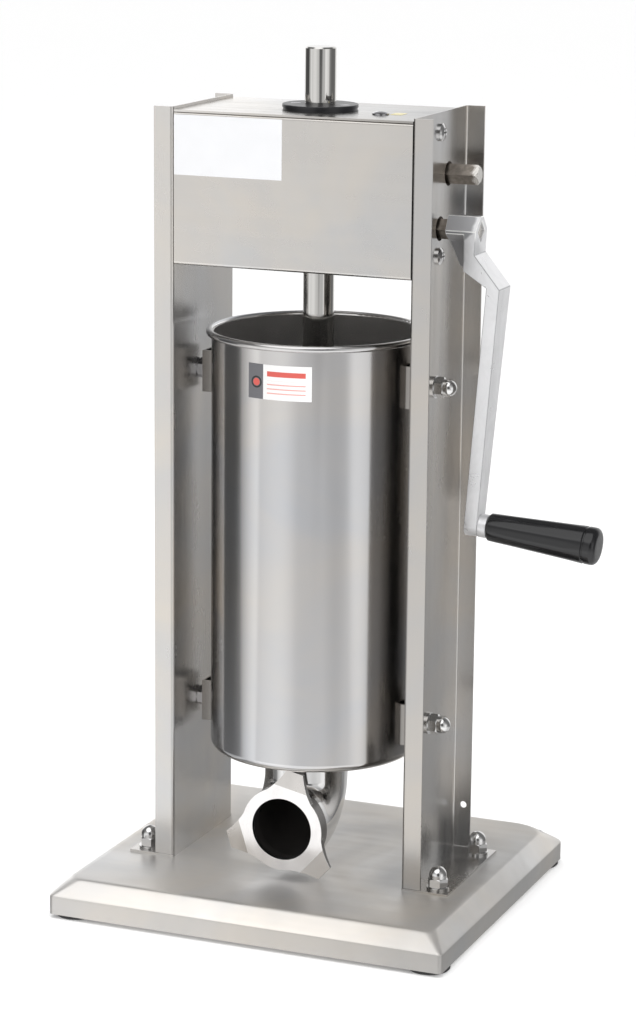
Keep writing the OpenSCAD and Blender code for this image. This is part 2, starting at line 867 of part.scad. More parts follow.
module outlet_elbow() {
    color("silver") {
        translate([0, outlet_y, bend_z]) linear_extrude(cylinder_bottom - bend_z) pipe_section();
        translate([0, bend_y, bend_z]) along_x() rotate(-90) rotate_extrude(angle = 90)
            translate([bend_r, 0]) pipe_section();
        translate([0, bend_y, spout_z]) along_front() linear_extrude(bend_y - pipe_end_y)
            pipe_section();
    }
}

module outlet_sleeve() {
    thread = 6;
    color("silver") translate([0, sleeve_from, spout_z]) along_front() difference() {
        cylinder(r = pipe_bore_r, h = sleeve_from - sleeve_to);
        translate([0, 0, -1]) cylinder(r = sleeve_bore_r, h = 20);
        for (k = [0:1]) translate([0, 0, thread + k * 2.5]) difference() {
            cylinder(r = pipe_bore_r + 1, h = 0.9);
            cylinder(r = pipe_bore_r - 0.7, h = 0.9);
        }
    }
}

// One wing of the ring nut, its flanks curving in towards the round body
module wing_plan() {
    flank_r = 60;
    reach = nut_body_r - 0.7 + flank_r;
    tip = norm([wing_tip_r, wing_half]);
    at = atan2(wing_half, wing_tip_r)
        + acos((reach * reach + tip * tip - flank_r * flank_r) / (2 * reach * tip));
    difference() {
        polygon([
            [0, 0], polar(nut_body_r - 1.5, -at), [wing_tip_r, -wing_half],
            [wing_tip_r, wing_half], polar(nut_body_r - 1.5, at)
        ]);
        for (side = [-1, 1]) translate(polar(reach, side * at)) circle(flank_r, $fn = 180);
    }
}

module ring_nut() {
    wing_back = 4.6;
    wing_slope = 2.6;
    color("lightgray") translate([0, nut_front, spout_z]) along_front() difference() {
        union() {
            translate([0, 0, nut_front - nut_back]) cylinder(r = nut_body_r, h = nut_back - nut_front);
            translate([0, 0, -wing_back]) linear_extrude(wing_back)
                for (k = [0:2]) rotate(wing_first + k * 120) wing_plan();
        }
        translate([0, 0, nut_front - nut_back - 1])
            cylinder(r = pipe_bore_r + running_gap, h = nut_back - nut_lip + 1);
        translate([0, 0, -12]) cylinder(r = nut_opening_r, h = 20);
        for (k = [0:2]) rotate(wing_first + k * 120) rotate([90, 0, 0]) translate([0, 0, -20])
            linear_extrude(40) polygon([[nut_body_r + 0.4, 0], [50, 1], [50, -wing_slope]]);
    }
}

// Bent strip welded to the cylinder, with a slot that hangs on a pin
module cylinder_bracket(side, z, slot_turn) {
    deep = 24;
    tall = 30;
    face = 82;
    difference() {
        translate([side * 68, pin_y - deep / 2, z - tall / 2]) mirror([side < 0 ? 1 : 0, 0, 0])
            difference() {
                cube([face - 68, deep, tall]);
                translate([-1, sheet, -1]) cube([face - 68 + 1 - sheet, deep - 2 * sheet, tall + 2]);
            }
        cylinder(r = cyl_r, h = cylinder_top);
        translate([side * (face - 5), pin_y, z]) rotate([0, side * 90, 0]) {
            cylinder(r = 4.4, h = 10);
            rotate(side * slot_turn) translate([-4.4, 0, 0]) cube([8.8, 40, 10]);
        }
    }
}

module upper_brackets() {
    color("silver") for (side = [-1, 1]) cylinder_bracket(side, pin_z_high, 0);
}

module lower_brackets() {
    color("silver") for (side = [-1, 1]) cylinder_bracket(side, pin_z_low, -90);
}

module cylinder_pins() {
    color("gray") each_pin() {
        translate([0, 0, 78.6]) cylinder(r1 = 3.2, r2 = m8_r - 0.05, h = 0.8);
        translate([0, 0, 79.4]) cylinder(r = m8_r - 0.05, h = 22.4);
    }
}

module pin_nuts() {
    color("silver") each_pin() translate([0, 0, 83.6]) hex_nut(m8_hex, inner_x - 83.6, m8_r);
}

module pin_washers() {
    color("silver") each_pin() {
        translate([0, 0, 82.3]) washer(m8_washer_r, 4.1, 1.3);
        translate([0, 0, web_x]) washer(m8_washer_r, 4.1, 1.6);
    }
}

module side_cap_nuts() {
    color("silver") each_pin() translate([0, 0, web_x + 1.6]) cap_nut();
}

// ---------- crank ----------

// Front view of the arm, in X and Z: hub, dog-leg, leaning lower half
module arm_front_view() {
    lean = tan(arm_lean);
    knee_in = [129.3, crank_z - 37.8];
    knee_out = [139, crank_z - 38.3];
    bottom = grip_z - 8.4;
    polygon([
        [hub_in, crank_z + 11], [hub_out, crank_z + 11], [hub_out - 1.3, crank_z - 15.4],
        knee_out, [knee_out[0] - (knee_out[1] - bottom) * lean, bottom],
        [knee_in[0] - (knee_in[1] - bottom) * lean, bottom], knee_in,
        [112.5, crank_z - 27], [107.5, crank_z - 23.4], [101.7, crank_z - 10.5],
        [99.1, crank_z - 5.3]
    ]);
}

// Side view of the arm above the grip, in Y and Z: pointed hub on top, tapering sides
module arm_side_view() {
    polygon([
        [-3, crank_z + 10.4], [3, crank_z + 10.4], [hub_half, crank_z + 0.7],
        [hub_half, crank_z - 40], [arm_end_r, grip_z], [-arm_end_r, grip_z],
        [-hub_half, crank_z - 40], [-hub_half, crank_z + 0.7]
    ]);
}

// The hub is a bar turned corner forward, so its lower faces slope in under the front edge
module hub_undercut() {
    for (side = [-1, 1])
        translate([hub_in - 1, 0, 0]) along_x() linear_extrude(15.8)
            polygon([
                [side * hub_half * 1.1, crank_z - 0.3], [side * 5.5, crank_z - 7],
                [side * 5.5, crank_z - 60], [side * hub_half * 1.1, crank_z - 60]
            ]);
}

module in_grip_frame() {
    translate([grip_x, 0, grip_z]) rotate([0, 90 + arm_lean, 0]) children();
}

module crank_arm() {
    hole = square_side + 0.3;
    color("gainsboro") difference() {
        intersection() {
            translate([0, 30, 0]) along_front() linear_extrude(60) arm_front_view();
            union() {
                translate([90, 0, 0]) along_x() linear_extrude(60) arm_side_view();
                rod_x(arm_end_r, 90, 150, 0, grip_z);
            }
        }
        hub_undercut();
        translate([hub_in - 1, crank_y, crank_z]) along_x() rotate(45)
            translate([-hole / 2, -hole / 2, 0]) cube([hole, hole, 30]);
        in_grip_frame() translate([0, 0, -10]) cylinder(r = 5, h = 20);
    }
}

module grip_collar() {
    color("silver") in_grip_frame() translate([0, 0, collar_from]) difference() {
        cylinder(r = 8.4, h = collar_to - collar_from);
        translate([0, 0, -1]) cylinder(r = 5, h = 12);
    }
}

module grip_spindle() {
    color("gray") in_grip_frame() {
        translate([0, 0, -4]) cylinder(r = 4.95, h = 4 + spindle_head);
        translate([0, 0, spindle_head]) cylinder(r = 7.5, h = 3);
    }
}

// Round black grip that widens to its end, with a groove near it
module crank_grip() {
    small_r = 9.9;
    ring_at = grip_to - 9.6;
    color("#181818") in_grip_frame() difference() {
        union() {
            translate([0, 0, grip_from]) cylinder(r1 = small_r - 0.9, r2 = small_r, h = 1.2);
            translate([0, 0, grip_from + 1.2])
                cylinder(r1 = small_r, r2 = grip_end_r, h = ring_at - grip_from - 1.2);
            translate([0, 0, ring_at]) cylinder(r = grip_end_r - 0.7, h = 1);
            rotate_extrude() {
                translate([0, ring_at + 1])
                    square([grip_end_r, grip_to - grip_round - ring_at - 1]);
                translate([grip_end_r - grip_round, grip_to - grip_round]) circle(grip_round);
                translate([0, grip_to - grip_round]) square([grip_end_r - grip_round, grip_round]);
            }
        }
        translate([0, 0, grip_from - 1]) cylinder(r = 5, h = grip_to);
        translate([0, 0, spindle_head - 0.35]) cylinder(r = grip_bore_r, h = 30);
    }
}

module grip_cap() {
    color("#181818") in_grip_frame() translate([0, 0, spindle_head + 3.4]) {
        cylinder(r = grip_bore_r, h = grip_to - spindle_head - 3.9);
        translate([0, 0, grip_to - spindle_head - 3.9])
            cylinder(r1 = grip_bore_r, r2 = grip_bore_r - 0.8, h = 0.4);
    }
}

// ---------- labels ----------

module panel_sticker() {
    color("white") translate([-inner_x + 0.6, -post_y + 0.7, crank_z + 33.7])
        cube([81.3, 0.3, 41.8]);
}

module cylinder_label() {
    from_front = -16.8;
    wide = 35.9;
    color("white") translate([0, 0, 379.7]) rotate(-90 + from_front) rotate_extrude(angle = wide)
        translate([cyl_r, 0]) square([0.3, 24.4]);
}

module cover_sticker() {
    color("lemonchiffon") translate([58.5, -16, gearbox_top]) cube([8, 12, 0.2]);
}

base_pan();
rubber_feet();
foot_studs();
foot_nuts();
left_post();
right_post();
post_bolts();
post_washers();
post_cap_nuts();
gearbox_trough();
top_cover();
cover_screws();
tab_nuts();
bearing_block();
bearing_bracket();
bracket_screws();
shaft_bushes();
lower_guide_bush();
bushing_gasket();
top_guide_bushing();
bushing_screws();
oil_plug();
rack_rod();
piston_plate();
piston_seal();
piston_nut();
valve_body();
valve_poppet();
valve_spring();
rack_pinion_shaft();
main_gear();
gear_key();
gear_circlips();
crank_pinion_shaft();
stub_circlip();
meat_cylinder();
outlet_elbow();
outlet_sleeve();
ring_nut();
upper_brackets();
lower_brackets();
cylinder_pins();
pin_nuts();
pin_washers();
side_cap_nuts();
crank_arm();
grip_collar();
grip_spindle();
crank_grip();
grip_cap();
panel_sticker();
cylinder_label();
cover_sticker();
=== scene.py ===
"""Looks of the hand-cranked sausage stuffer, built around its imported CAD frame.

Metres, +Z up, the spout towards -Y and the crank on +X.
"""

import json
import math

import bmesh
import bpy
from mathutils import Matrix, Vector

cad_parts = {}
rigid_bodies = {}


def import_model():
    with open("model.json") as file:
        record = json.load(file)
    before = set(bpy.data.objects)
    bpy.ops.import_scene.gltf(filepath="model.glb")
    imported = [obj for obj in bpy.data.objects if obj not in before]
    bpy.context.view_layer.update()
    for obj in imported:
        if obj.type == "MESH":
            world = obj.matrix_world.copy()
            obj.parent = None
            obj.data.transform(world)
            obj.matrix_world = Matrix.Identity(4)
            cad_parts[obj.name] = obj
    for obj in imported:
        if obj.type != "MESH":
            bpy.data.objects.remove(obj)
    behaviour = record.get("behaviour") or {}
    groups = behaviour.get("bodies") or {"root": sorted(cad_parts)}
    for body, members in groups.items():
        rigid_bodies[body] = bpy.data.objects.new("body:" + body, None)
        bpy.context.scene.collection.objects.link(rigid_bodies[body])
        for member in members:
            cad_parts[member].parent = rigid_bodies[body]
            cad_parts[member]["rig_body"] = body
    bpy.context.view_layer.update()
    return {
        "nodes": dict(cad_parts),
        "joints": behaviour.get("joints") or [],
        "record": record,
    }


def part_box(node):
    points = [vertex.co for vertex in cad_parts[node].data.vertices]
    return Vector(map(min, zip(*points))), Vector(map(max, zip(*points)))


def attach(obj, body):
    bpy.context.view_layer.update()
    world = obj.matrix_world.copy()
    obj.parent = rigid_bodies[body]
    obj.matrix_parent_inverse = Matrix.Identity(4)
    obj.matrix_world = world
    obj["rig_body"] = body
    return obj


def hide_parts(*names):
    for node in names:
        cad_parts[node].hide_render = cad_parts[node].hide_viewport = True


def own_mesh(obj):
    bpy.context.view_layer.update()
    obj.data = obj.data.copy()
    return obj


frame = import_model()
NODES = frame["nodes"]
SLOT_OF = {part["node"]: part["material_slot"] for part in frame["record"]["subparts"]}
JOINTS = {joint["name"]: joint for joint in frame["joints"]}

MM = 0.001


# ---------- places taken from the frame ----------

base_low, base_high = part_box("base_pan")
label_low, label_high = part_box("cylinder_label")
cylinder_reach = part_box("meat_cylinder")[1].x
arm_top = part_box("crank_arm")[1].z
stub_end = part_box("crank_pinion_shaft")[1].x


# ---------- materials ----------

class Shader:
    """A material with short calls for the few nodes that the looks below use."""

    def __init__(self, name, colour, metallic=0.0, roughness=0.5, **inputs):
        self.material = bpy.data.materials.new(name)
        self.material.use_nodes = True
        self.nodes = self.material.node_tree.nodes
        self.links = self.material.node_tree.links
        self.surface = self.nodes["Principled BSDF"]
        self.surface.inputs["Base Color"].default_value = (*colour, 1)
        self.surface.inputs["Metallic"].default_value = metallic
        self.surface.inputs["Roughness"].default_value = roughness
        for socket, value in inputs.items():
            self.surface.inputs[socket.replace("_", " ")].default_value = value
        self.material.diffuse_color = (*colour, 1)
        self.where = self.nodes.new("ShaderNodeTexCoord").outputs["Object"]

    def put(self, source, socket):
        self.links.new(source, self.surface.inputs[socket])

    def scaled(self, stretch):
        mapping = self.nodes.new("ShaderNodeMapping")
        mapping.inputs["Scale"].default_value = stretch
        self.links.new(self.where, mapping.inputs["Vector"])
        return mapping.outputs["Vector"]

    def noise(self, stretch, detail=4.0, roughness=0.55, distortion=0.0):
        noise = self.nodes.new("ShaderNodeTexNoise")
        noise.inputs["Scale"].default_value = 1.0
        noise.inputs["Detail"].default_value = detail
        noise.inputs["Roughness"].default_value = roughness
        noise.inputs["Distortion"].default_value = distortion
        self.links.new(self.scaled(stretch), noise.inputs["Vector"])
        return noise.outputs["Fac"]

    def remap(self, source, from_low, from_high, to_low, to_high):
        remap = self.nodes.new("ShaderNodeMapRange")
        values = (from_low, from_high, to_low, to_high)
        for socket, value in zip(("From Min", "From Max", "To Min", "To Max"), values):
            remap.inputs[socket].default_value = value
        self.links.new(source, remap.inputs["Value"])
        return remap.outputs["Result"]

    def math(self, operation, first, second=0.0):
        node = self.nodes.new("ShaderNodeMath")
        node.operation = operation
        for socket, value in zip(node.inputs, (first, second)):
            if isinstance(value, (int, float)):
                socket.default_value = value
            else:
                self.links.new(value, socket)
        return node.outputs["Value"]

    def mix(self, factor, first, second):
        node = self.nodes.new("ShaderNodeMix")
        node.data_type = "RGBA"
        self.links.new(factor, node.inputs["Factor"])
        for socket, value in ((node.inputs[6], first), (node.inputs[7], second)):
            if isinstance(value, tuple):
                socket.default_value = (*value, 1)
            else:
                self.links.new(value, socket)
        return node.outputs[2]

    def multiply(self, first, second):
        node = self.nodes.new("ShaderNodeMix")
        node.data_type = "RGBA"
        node.blend_type = "MULTIPLY"
        node.inputs["Factor"].default_value = 1.0
        self.links.new(first, node.inputs[6])
        self.links.new(second, node.inputs[7])
        return node.outputs[2]

    def bump(self, height, strength, distance):
        bump = self.nodes.new("ShaderNodeBump")
        bump.inputs["Strength"].default_value = strength
        bump.inputs["Distance"].default_value = distance
        self.links.new(height, bump.inputs["Height"])
        self.put(bump.outputs["Normal"], "Normal")

    def axis(self, letter):
        split = self.nodes.new("ShaderNodeSeparateXYZ")
        self.links.new(self.where, split.inputs["Vector"])
        return split.outputs[letter]

    def tilt(self):
        """How far the surface faces up, from 0 on an upright face to 1 on a level one."""
        normal = self.nodes.new("ShaderNodeTexCoord").outputs["Normal"]
        split = self.nodes.new("ShaderNodeSeparateXYZ")
        self.links.new(normal, split.inputs["Vector"])
        return split.outputs["Z"]


def shade(colour, factor):
    """The colour made darker, or lighter up to white."""
    return tuple(min(1.0, channel * factor) for channel in colour)


LINES_ALONG, LINES_ACROSS = 4.0, 150.0    # how often the grinding lines vary per metre
LINE_DEPTH = 0.01 * MM
PAINTED_SIDE_SHADE_SPAN = 120 * MM     # the painted shade changes from this far on one side to this far on the other
INSIDE_DULLNESS = 0.06     # how much less metallic the inside of a vessel is, beside the lighter tone painted there as light
PIT_DEPTH = 0.12 * MM
CAST_PIT_DEPTH = 0.1 * MM
HAMMERED_DEPTH = 0.15 * MM
PLASTIC_GRAIN_DEPTH = 0.06 * MM
BARE_END = 110 * MM        # a shaft's end is bare from here outward


def brushed(name, colour, roughness, along, streaks=0.02, cloud_depth=0.06,
            painted_side_shade=(1.05, 0.88), painted_side_shade_axis="X", inside=None, metallic=1.0, tilt=None):
    """Sheet metal with faint grinding lines along one axis, cloudy wear and a painted shade from
    side to side.

    The side-to-side tones are painted light and shade: the tone at the low and the high end of
    their axis. inside is a radius about the rod's axis and a lighter colour within it, painted
    light on the vessel's shaded inner wall. tilt is painted light and shade: the tone of upright
    and of sloped faces, next to level ones.
    """
    made = Shader(name, colour, metallic=metallic, roughness=roughness)
    rates = tuple(LINES_ALONG if letter == along else LINES_ACROSS for letter in "XYZ")
    lines = made.noise(rates, detail=1.2)
    cloud = made.noise((11.0, 11.0, 8.0), detail=5.0, roughness=0.62, distortion=0.6)
    wear = made.remap(cloud, 0.32, 0.68, -cloud_depth, cloud_depth)
    grit = made.remap(lines, 0.35, 0.65, -streaks, streaks)
    made.put(made.math("ADD", made.math("ADD", wear, grit), roughness), "Roughness")
    tint = made.remap(made.noise((7.0, 7.0, 9.0), detail=4.0, distortion=0.8), 0.35, 0.65, 0.0, 1.0)
    cool = tuple(channel * part for channel, part in zip(colour, (0.95, 0.96, 0.98)))
    warm = tuple(channel * part for channel, part in zip(colour, (1.06, 1.015, 0.96)))
    wear_and_painted_light = made.mix(tint, cool, warm)
    # painted shade: the tone falls from one end of an axis to the other, lighter at one end and
    # darker at the other
    sideways = made.remap(made.axis(painted_side_shade_axis), -PAINTED_SIDE_SHADE_SPAN, PAINTED_SIDE_SHADE_SPAN, 0.0, 1.0)
    wear_and_painted_light = made.multiply(wear_and_painted_light, made.mix(sideways, (painted_side_shade[0],) * 3, (painted_side_shade[1],) * 3))
    # painted light: within this radius the vessel's shaded inner wall gets a lighter, less metallic
    # tone
    if inside:
        radius, tone = inside
        x, y = made.axis("X"), made.axis("Y")
        reach = made.math("ADD", made.math("MULTIPLY", x, x), made.math("MULTIPLY", y, y))
        within = made.math("LESS_THAN", reach, radius * radius)
        wear_and_painted_light = made.mix(within, wear_and_painted_light, tone)
        made.put(made.remap(within, 0.0, 1.0, metallic, metallic - INSIDE_DULLNESS), "Metallic")
    # painted light and shade by slope: sloped faces lighter, upright faces darker, level faces left
    # as they are
    if tilt:
        upright, sloped = tilt
        up = made.tilt()
        wear_and_painted_light = made.multiply(wear_and_painted_light, made.remap(up, 0.15, 0.5, upright, sloped))
        wear_and_painted_light = made.multiply(wear_and_painted_light, made.remap(up, 0.86, 0.98, 1.0, 1.0 / sloped))
    made.put(wear_and_painted_light, "Base Color")
    made.bump(lines, 0.005, LINE_DEPTH)
    return made.material


def polished(name, colour, roughness, smears=0.03):
    """Smooth plated or polished metal, a little duller where it is smeared."""
    made = Shader(name, colour, metallic=1.0, roughness=roughness)
    cloud = made.noise((60.0, 60.0, 60.0), detail=3.0, distortion=0.4)
    clean = max(0.02, roughness - smears)
    made.put(made.remap(cloud, 0.3, 0.7, clean, roughness + smears), "Roughness")
    return made.material


def cast(name, colour, roughness, grain=1400.0, depth=0.25, metallic=1.0):
    """Cast or tumbled metal: a fine granular surface with an uneven sheen."""
    made = Shader(name, colour, metallic=metallic, roughness=roughness)
    pits = made.noise((grain, grain, grain), detail=4.0, roughness=0.6)
    cloud = made.noise((55.0, 55.0, 35.0), detail=3.0)
    made.put(made.remap(cloud, 0.3, 0.7, roughness - 0.07, roughness + 0.07), "Roughness")
    tint = made.remap(cloud, 0.3, 0.7, 0.0, 1.0)
    made.put(made.mix(tint, shade(colour, 0.88), shade(colour, 1.08)), "Base Color")
    made.bump(pits, depth, PIT_DEPTH)
    return made.material


def worn_shaft(name, colour, bright):
    """Dark turned steel whose hammered outer end is bare and bright."""
    made = Shader(name, colour, metallic=1.0, roughness=0.34)
    pits = made.noise((650.0, 650.0, 650.0), detail=4.0, roughness=0.6)
    spots = made.noise((240.0, 240.0, 240.0), detail=3.0)
    reach = made.math("ADD", made.axis("X"), made.remap(spots, 0.3, 0.7, -2.5 * MM, 2.5 * MM))
    end = made.remap(reach, BARE_END - 1.5 * MM, BARE_END + 1.5 * MM, 0.0, 1.0)
    spotted = made.remap(spots, 0.35, 0.65, 0.0, 1.0)
    dark = made.mix(spotted, shade(colour, 0.8), shade(colour, 1.25))
    made.put(made.mix(end, dark, bright), "Base Color")
    made.put(made.remap(end, 0.0, 1.0, 0.36, 0.20), "Roughness")
    made.bump(pits, 0.5, HAMMERED_DEPTH)
    return made.material


def crank_metal(name, colour, shadowed, hub_edge_highlight=None):
    """Cast aluminium, unevenly bright where hands and the tumbler have rubbed it, with painted
    shade on the hub's inner side and, where a hub edge tone is given, a painted highlight on the
    hub's top edges.
    """
    made = Shader(name, colour, metallic=0.72, roughness=0.34)
    pits = made.noise((900.0, 900.0, 900.0), detail=4.0, roughness=0.6)
    cloud = made.noise((75.0, 75.0, 45.0), detail=4.0, distortion=0.5)
    wander = made.remap(cloud, 0.3, 0.7, -1.5 * MM, 1.5 * MM)
    height, reach = made.axis("Z"), made.math("ADD", made.axis("X"), wander)
    # painted shade: the inner side of the upper part, round the hub, takes the shadowed tone
    top, face = arm_top, stub_end + 2 * MM
    high = made.remap(height, top - 46 * MM, top - 34 * MM, 0.0, 1.0)
    border = made.remap(height, top - 16 * MM, top - 11 * MM, face - 9.5 * MM, face - 2.8 * MM)
    inward = made.remap(made.math("SUBTRACT", reach, border), -1.2 * MM, 1.2 * MM, 1.0, 0.0)
    tint = made.remap(cloud, 0.35, 0.65, 0.0, 1.0)
    rubbed = made.mix(tint, shade(colour, 0.90), shade(colour, 1.06))
    tone = made.mix(made.math("MULTIPLY", high, inward), rubbed, shadowed)
    # painted highlight: the edges near the hub's top take a near-white tone
    if hub_edge_highlight:
        tone = made.mix(made.remap(height, top - 17 * MM, top - 13 * MM, 0.0, 1.0), tone, hub_edge_highlight)
    made.put(tone, "Base Color")
    made.put(made.remap(cloud, 0.3, 0.7, 0.26, 0.40), "Roughness")
    made.bump(pits, 0.1, CAST_PIT_DEPTH)
    return made.material


def nut_edge(name, lit, shaded):
    """The ring nut's rounded edges: a painted highlight where they face up or sideways, painted
    shade where they face down towards the base.
    """
    made = Shader(name, lit, metallic=0.35, roughness=0.30)
    made.put(made.mix(made.remap(made.tilt(), -0.30, 0.0, 0.0, 1.0), shaded, lit), "Base Color")
    made.bump(made.noise((700.0, 700.0, 700.0)), 0.04, PIT_DEPTH)
    return made.material


def plastic(name, colour, roughness, depth=0.08):
    """Moulded plastic or rubber with a fine grain and a slightly uneven gloss."""
    made = Shader(name, colour, roughness=roughness)
    cloud = made.noise((62.5, 62.5, 62.5), detail=3.0)
    glossy = max(0.03, roughness - 0.04)
    made.put(made.remap(cloud, 0.3, 0.7, glossy, roughness + 0.04), "Roughness")
    made.bump(made.noise((500.0, 500.0, 500.0)), depth, PLASTIC_GRAIN_DEPTH)
    return made.material


def paper_label(name, colour):
    """Plain printed film without any print, faintly uneven under its gloss."""
    made = Shader(name, colour, roughness=0.38, Coat_Weight=0.3, Coat_Roughness=0.2)
    cloud = made.noise((40.0, 40.0, 40.0), detail=2.0)
    tint = made.remap(cloud, 0.3, 0.7, 0.0, 1.0)
    made.put(made.mix(tint, shade(colour, 0.97), colour), "Base Color")
    return made.material


def cylinder_label_material():
    """White film: a grey block, a ring round a red disc, a red heading bar and thin red lines."""
    white, grey, black = (0.80, 0.80, 0.79), (0.13, 0.13, 0.14), (0.02, 0.02, 0.02)
    red, pale_red = (0.62, 0.10, 0.08), (0.72, 0.33, 0.30)
    block_wide, ring_radius, ring_thick, disc_radius = 12 * MM, 3.6 * MM, 1.2 * MM, 2.6 * MM
    made = Shader("cylinder_label_film", white, roughness=0.4)
    tall = label_high.z - label_low.z
    block_edge = label_low.x + block_wide
    ring_x, ring_z = label_low.x + 6.6 * MM, label_low.z + tall * 0.48
    x, z = made.axis("X"), made.axis("Z")

    def near(value, middle, reach):
        offset = made.math("ABSOLUTE", made.math("SUBTRACT", value, middle))
        return made.math("LESS_THAN", offset, reach)

    across = made.math("SUBTRACT", x, ring_x)
    up = made.math("SUBTRACT", z, ring_z)
    reach = made.math("SQRT", made.math("ADD", made.math("MULTIPLY", across, across),
                                        made.math("MULTIPLY", up, up)))
    inside = made.math("MULTIPLY", made.math("GREATER_THAN", x, block_edge + 3 * MM),
                       made.math("LESS_THAN", x, label_high.x - 4 * MM))
    heading_bar = made.math("MULTIPLY", near(z, label_low.z + tall * 0.74, tall * 0.075), inside)
    row = made.math("FRACT", made.math("DIVIDE", made.math("SUBTRACT", z, label_low.z), tall / 8))
    lines = made.math("MULTIPLY", near(row, 0.5, 0.13),
                      made.math("LESS_THAN", z, label_low.z + tall * 0.55))
    lines = made.math("MULTIPLY", lines, made.math("GREATER_THAN", z, label_low.z + tall * 0.08))
    printed = made.mix(made.math("MULTIPLY", lines, inside), white, pale_red)
    printed = made.mix(heading_bar, printed, red)
    printed = made.mix(made.math("LESS_THAN", x, block_edge), printed, grey)
    printed = made.mix(made.math("LESS_THAN", reach, disc_radius), printed, red)
    made.put(made.mix(near(reach, ring_radius, ring_thick / 2), printed, black), "Base Color")
    return made.material


STEEL = (0.60, 0.59, 0.575)
MATERIALS = {
    # painted shade from side to side along X
    "brushed_stainless": brushed(
        "brushed_stainless", STEEL, 0.24, "Z", cloud_depth=0.04, painted_side_shade=(0.98, 0.88),
    ),
    # painted shade from side to side along X, and painted light on the shaded inner wall
    "satin_cylinder": brushed(
        "satin_cylinder", (0.59, 0.592, 0.60), 0.15, "Z", streaks=0.015, cloud_depth=0.035,
        inside=(cylinder_reach - 4.6 * MM, (0.90, 0.885, 0.87)),
    ),
    "polished_stainless": polished("polished_stainless", (0.70, 0.695, 0.69), 0.09),
    "chromed_rod": polished("chromed_rod", (0.61, 0.60, 0.58), 0.06, smears=0.02),
    "zinc_steel": polished("zinc_steel", (0.55, 0.55, 0.57), 0.26, smears=0.08),
    "dark_steel": worn_shaft("dark_steel", (0.27, 0.24, 0.21), (0.62, 0.60, 0.57)),
    "gear_steel": cast("gear_steel", (0.40, 0.39, 0.39), 0.32, grain=1200.0, depth=0.1),
    "gearbox_casting": cast("gearbox_casting", (0.30, 0.30, 0.31), 0.5, depth=0.5),
    "bronze": cast("bronze", (0.07, 0.055, 0.045), 0.45, depth=0.2),
    "cast_aluminium": cast("cast_aluminium", (0.80, 0.80, 0.81), 0.34, depth=0.12, metallic=0.72),
    "black_rubber": plastic("black_rubber", (0.018, 0.018, 0.018), 0.62, depth=0.3),
    "black_plastic": plastic("black_plastic", (0.007, 0.007, 0.008), 0.15, depth=0.012),
    "bushing_plastic": plastic("bushing_plastic", (0.016, 0.016, 0.018), 0.34),
    "white_plastic": plastic("white_plastic", (0.78, 0.78, 0.74), 0.4),
    "seal_rubber": plastic("seal_rubber", (0.66, 0.66, 0.63), 0.55),
    "label_film": paper_label("label_film", (0.76, 0.765, 0.78)),
    "yellow_film": paper_label("yellow_film", (0.70, 0.62, 0.30)),
    "spring_steel": polished("spring_steel", (0.45, 0.45, 0.47), 0.25),
}
# painted shade from side to side: lighter towards -X, darker towards +X
LEFT_STEEL = brushed("left_stainless", STEEL, 0.24, "Z", cloud_depth=0.04,
                     painted_side_shade=(1.03, 0.88), metallic=0.88)
PANEL_STEEL = brushed("panel_stainless", shade(STEEL, 0.98), 0.26, "X", cloud_depth=0.08)
# a lighter copy of the steel as painted light, painted shade from side to side along X, and by
# slope painted light on the slopes and painted shade on the upright skirt
PAN_STEEL = brushed("pan_stainless", shade(STEEL, 1.10), 0.42, "X", cloud_depth=0.09,
                    painted_side_shade=(1.07, 0.78), metallic=0.83, tilt=(0.86, 1.25))
# a slightly darker copy of the steel as painted shade, with painted shade from side to side along
# Y, darker at the front and lighter at the back
RIGHT_STEEL = brushed("right_stainless", shade(STEEL, 0.97), 0.24, "Z", cloud_depth=0.04,
                      painted_side_shade=(0.66, 1.25), painted_side_shade_axis="Y")
# the second tone is painted shade on the hub's inner side
CRANK_METAL = crank_metal("crank_aluminium", (0.76, 0.76, 0.77), (0.35, 0.35, 0.36))
# the edge tone is darker than the faces as painted shade along the edges, with a painted highlight
# on the hub's top edges
CRANK_EDGE = crank_metal("crank_edge", (0.46, 0.46, 0.47), (0.32, 0.32, 0.33),
                         hub_edge_highlight=(0.98, 0.98, 0.97))
# painted shade: a dark tone for the ring nut's sides
NUT_SIDE = cast("nut_side", (0.20, 0.195, 0.19), 0.30, grain=700.0, depth=0.08)
BRACKET_STEEL = polished("bracket_stainless", (0.30, 0.285, 0.27), 0.24)
NUT_METAL = cast("nut_aluminium", (0.86, 0.84, 0.83), 0.20, grain=700.0, depth=0.05)
# a lighter copy of the steel as painted light, with strong painted shade from side to side along X,
# darker towards +X
COVER_STEEL = brushed("cover_stainless", shade(STEEL, 1.15), 0.20, "X", painted_side_shade=(1.12, 0.36))
OWN_MATERIAL = {
    "gearbox_trough": PANEL_STEEL,
    "top_cover": COVER_STEEL,
    "base_pan": PAN_STEEL,
    "cylinder_label": cylinder_label_material(),
    "ring_nut": NUT_METAL,
    "left_post": LEFT_STEEL,
    "right_post": RIGHT_STEEL,
    "upper_brackets": BRACKET_STEEL,
    "lower_brackets": BRACKET_STEEL,
    "crank_arm": CRANK_METAL,
    "grip_collar": CRANK_METAL,
}
# painted highlight and painted shade for the ring nut's rounded edges
BRIGHT_EDGE = nut_edge("nut_edge", (0.97, 0.97, 0.96), (0.17, 0.16, 0.155))
# painted shade: a darker, warmer tone for the ring nut's wing faces
WING_METAL = cast("wing_aluminium", (0.66, 0.635, 0.61), 0.22, grain=700.0, depth=0.05)
# painted shade: a dark tone for the inner walls of the outlet pipe
DARK_INSIDE = cast("dark_inside", (0.15, 0.14, 0.135), 0.6, depth=0.05)


def look_of(node):
    """A node's own material, or else the one for its record slot."""
    return OWN_MATERIAL.get(node, MATERIALS[SLOT_OF[node]])


